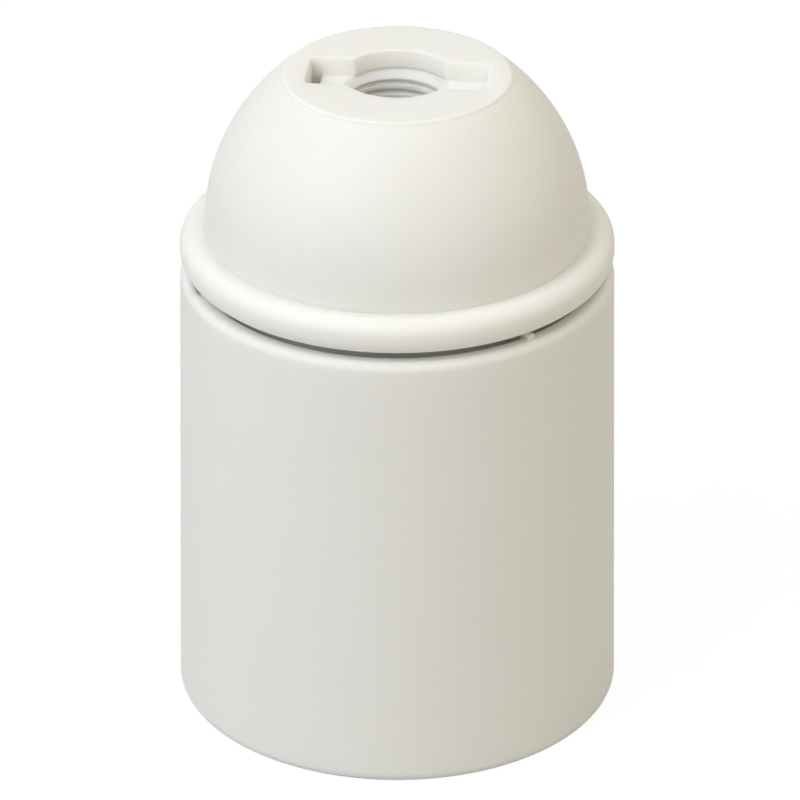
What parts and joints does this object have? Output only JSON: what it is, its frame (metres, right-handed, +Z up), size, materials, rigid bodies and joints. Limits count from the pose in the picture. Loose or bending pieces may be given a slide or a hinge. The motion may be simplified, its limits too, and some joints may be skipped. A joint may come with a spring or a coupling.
{
  "type": "lamp holder",
  "caption": "White plastic lamp holder for a large screw lamp: domed cap with an M10 x 1 entry, plain screw-on skirt, ceramic carrier with screw shell and terminals.",
  "frame": {"origin": "centre of the circle on which the rim of the skirt stands", "axes": "+Z up through the cap along the holder's axis; -Y is the front, from which the picture is taken; +X is the neutral terminal's side"},
  "size_m": [0.0438, 0.0438, 0.0665],
  "materials": {
    "white_plastic": "satin moulded",
    "white_skirt_plastic": "satin moulded",
    "steatite": "unglazed",
    "nickel_plated_sheet": "nickel plated",
    "spring_bronze": "rolled",
    "brass": "stamped",
    "zinc_plated_steel": "zinc plated"
  },
  "bodies": {
    "cap": {"dome_cap": "white_plastic"},
    "lock_screw": {"nipple_lock_screw": "zinc_plated_steel"},
    "carrier": {"contact_carrier": "steatite", "screw_shell": "nickel_plated_sheet", "live_strip": "brass", "neutral_strip": "brass", "contact_rivet": "brass", "shell_rivet": "brass", "neutral_rivet": "brass", "live_terminal": "brass", "neutral_terminal": "brass"},
    "skirt": {"outer_skirt": "white_skirt_plastic"},
    "contact": {"centre_contact": "spring_bronze"},
    "live_clamp": {"live_wire_clamp": "nickel_plated_sheet"},
    "live_screw": {"live_terminal_screw": "zinc_plated_steel"},
    "neutral_clamp": {"neutral_wire_clamp": "nickel_plated_sheet"},
    "neutral_screw": {"neutral_terminal_screw": "zinc_plated_steel"}
  },
  "joints": [
    {"name": "skirt_fall", "type": "slide", "parent": "cap", "child": "carrier", "axis": [0, 0, -1], "range_m": [0, 0.006]},
    {"name": "skirt_turn", "type": "hinge", "parent": "carrier", "child": "skirt", "pos_m": [0, 0, 0.0395], "axis": [0, 0, -1], "range_deg": [0, 720]},
    {"name": "centre_contact_press", "type": "hinge", "parent": "carrier", "child": "contact", "pos_m": [0, -0.0066, 0.0309], "axis": [1, 0, 0], "range_deg": [0, 10], "stiffness_Nm_per_rad": 0.12},
    {"name": "live_clamp_lift", "type": "slide", "parent": "carrier", "child": "live_clamp", "axis": [0, 0, 1], "range_m": [0, 0.003]},
    {"name": "live_screw_turn", "type": "hinge", "parent": "live_clamp", "child": "live_screw", "pos_m": [-0.0096, 0, 0.0403], "axis": [0, 0, 1], "range_deg": [0, 1800]},
    {"name": "neutral_clamp_lift", "type": "slide", "parent": "carrier", "child": "neutral_clamp", "axis": [0, 0, 1], "range_m": [0, 0.003]},
    {"name": "neutral_screw_turn", "type": "hinge", "parent": "neutral_clamp", "child": "neutral_screw", "pos_m": [0.0096, 0, 0.0403], "axis": [0, 0, 1], "range_deg": [0, 1800]},
    {"name": "lock_screw_travel", "type": "slide", "parent": "cap", "child": "lock_screw", "axis": [-1, 0, 0], "range_m": [-0.002, 0.0008]}
  ],
  "couplings": [
    {"joint": "skirt_fall", "follows": "skirt_turn", "m_per_rad": 0.00047746},
    {"joint": "live_screw_turn", "follows": "live_clamp_lift", "rad_per_m": 10472},
    {"joint": "neutral_screw_turn", "follows": "neutral_clamp_lift", "rad_per_m": 10472}
  ]
}
